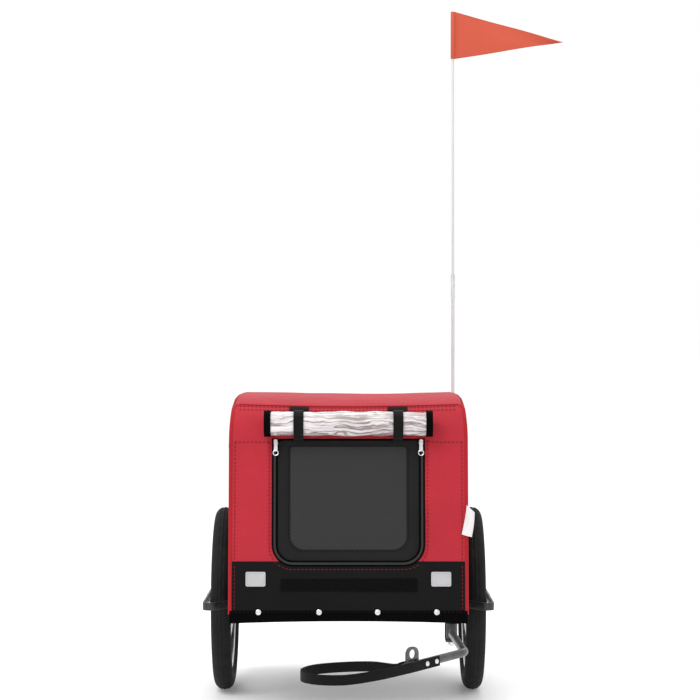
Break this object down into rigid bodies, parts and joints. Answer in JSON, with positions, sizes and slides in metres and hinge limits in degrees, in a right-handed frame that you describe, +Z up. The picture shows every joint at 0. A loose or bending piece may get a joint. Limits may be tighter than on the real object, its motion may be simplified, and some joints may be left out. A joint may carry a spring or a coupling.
{
  "type": "bicycle trailer",
  "caption": "Folding two-wheeled bicycle trailer with a fabric cabin, zipped end doors, rolled rain cover, bent tow arm with eye and safety strap, and a flag on a pole.",
  "frame": {"origin": "middle of the floor board's underside, midway between the wheels and above the axle line; the ground is 198.3 mm below", "axes": "+Z up, -Y the towing direction (front), +X the trailer's left side, where the tow arm and the flag are"},
  "size_m": [0.8187, 1.2241, 1.5436],
  "materials": {
    "red_fabric": "coated polyester, fine plain weave, matte",
    "black_fabric": "coated polyester, matte",
    "mesh_fabric": "fine black window mesh",
    "webbing": "woven polypropylene webbing",
    "coated_steel": "black powder coat, satin",
    "grey_steel": "dark grey coating, semi-gloss",
    "zinc": "zinc plated",
    "tyre": "black rubber with a shallow tread",
    "rim_metal": "satin rim, hub and spokes",
    "clear_film": "crumpled clear PVC sheet, rolled",
    "white_lens": "clear prismatic reflector",
    "red_lens": "red prismatic reflector",
    "socket_plastic": "moulded black plastic",
    "fibreglass": "white fibreglass rod",
    "flag_cloth": "thin orange-red nylon",
    "floor_board": "thin stiff board, matte"
  },
  "bodies": {
    "root": {"base_frame": "coated_steel", "cross_tube_front": "coated_steel", "cross_tube_rear": "coated_steel", "floor_board": "floor_board", "floor_mat": "black_fabric", "wheel_guard_left": "coated_steel", "wheel_guard_right": "coated_steel", "axle_boss_left": "coated_steel", "axle_boss_right": "coated_steel", "axle_left": "zinc", "axle_right": "zinc", "axle_nut_left": "zinc", "axle_nut_right": "zinc", "hoop_bracket_front_left": "grey_steel", "hoop_bracket_front_right": "grey_steel", "hoop_bracket_rear_left": "grey_steel", "hoop_bracket_rear_right": "grey_steel", "hoop_bolt_front_left": "zinc", "hoop_bolt_front_right": "zinc", "hoop_bolt_rear_left": "zinc", "hoop_bolt_rear_right": "zinc", "cover_front": "red_fabric", "cover_rear": "red_fabric", "cover_left": "red_fabric", "cover_right": "red_fabric", "cover_roof": "red_fabric", "side_window_left": "mesh_fabric", "side_window_right": "mesh_fabric", "rain_cover_roll": "clear_film", "roll_strap_left": "webbing", "roll_strap_right": "webbing", "reflector_front_left": "white_lens", "reflector_front_right": "white_lens", "reflector_rear_left": "red_lens", "reflector_rear_right": "red_lens", "flag_socket": "socket_plastic", "tow_bracket": "grey_steel", "tow_pivot_bolt": "zinc"},
    "wheel_left": {"tyre_left": "tyre", "rim_left": "rim_metal", "hub_left": "rim_metal"},
    "wheel_right": {"tyre_right": "tyre", "rim_right": "rim_metal", "hub_right": "rim_metal"},
    "front_hoop": {"front_hoop": "coated_steel"},
    "rear_hoop": {"rear_hoop": "coated_steel"},
    "front_door": {"front_door": "mesh_fabric"},
    "rear_door": {"rear_door": "mesh_fabric"},
    "zip_pull_front_left": {"zip_pull_front_left": "zinc"},
    "zip_pull_front_right": {"zip_pull_front_right": "zinc"},
    "zip_pull_rear_left": {"zip_pull_rear_left": "zinc"},
    "zip_pull_rear_right": {"zip_pull_rear_right": "zinc"},
    "tow_arm": {"tow_arm": "grey_steel", "hitch_eye": "grey_steel", "safety_strap": "webbing"},
    "flag": {"flag_pole_lower": "fibreglass", "flag_pole_upper": "fibreglass", "flag": "flag_cloth"}
  },
  "joints": [
    {"name": "wheel_left_spin", "type": "hinge", "parent": "root", "child": "wheel_left", "pos_m": [0.2705, 0, 0.0012], "axis": [1, 0, 0], "continuous": true},
    {"name": "wheel_right_spin", "type": "hinge", "parent": "root", "child": "wheel_right", "pos_m": [-0.2705, 0, 0.0012], "axis": [1, 0, 0], "continuous": true},
    {"name": "frame_fold", "type": "hinge", "parent": "root", "child": "front_hoop", "pos_m": [0, -0.285, 0.0327], "axis": [1, 0, 0], "range_deg": [-80, 0], "deforming": ["cover_front", "cover_rear", "cover_left", "cover_right", "cover_roof", "side_window_left", "side_window_right", "rain_cover_roll", "roll_strap_left", "roll_strap_right"]},
    {"name": "rear_hoop_fold", "type": "hinge", "parent": "root", "child": "rear_hoop", "pos_m": [0, 0.285, 0.0327], "axis": [1, 0, 0], "range_deg": [0, 70.4]},
    {"name": "tow_arm_swing", "type": "hinge", "parent": "root", "child": "tow_arm", "pos_m": [0.212, -0.319, -0.031], "axis": [0, 0, 1], "range_deg": [-60, 0]},
    {"name": "front_door_swing", "type": "hinge", "parent": "root", "child": "front_door", "pos_m": [0, -0.30019, 0.3597], "axis": [-1, 0, 0], "range_deg": [0, 80]},
    {"name": "rear_door_swing", "type": "hinge", "parent": "root", "child": "rear_door", "pos_m": [0, 0.30019, 0.3597], "axis": [1, 0, 0], "range_deg": [0, 80]},
    {"name": "zip_front_left_slide", "type": "slide", "parent": "root", "child": "zip_pull_front_left", "axis": [0, -0.0968, -0.9953], "range_m": [0, 0.2]},
    {"name": "zip_front_right_slide", "type": "slide", "parent": "root", "child": "zip_pull_front_right", "axis": [0, -0.0968, -0.9953], "range_m": [0, 0.2]},
    {"name": "zip_rear_left_slide", "type": "slide", "parent": "root", "child": "zip_pull_rear_left", "axis": [0, 0.0968, -0.9953], "range_m": [0, 0.2]},
    {"name": "zip_rear_right_slide", "type": "slide", "parent": "root", "child": "zip_pull_rear_right", "axis": [0, 0.0968, -0.9953], "range_m": [0, 0.2]},
    {"name": "flag_lift", "type": "slide", "parent": "root", "child": "flag", "axis": [0, 0, 1], "range_m": [0, 0.08]}
  ],
  "couplings": [
    {"joint": "rear_hoop_fold", "follows": "frame_fold", "ratio": -0.88}
  ]
}
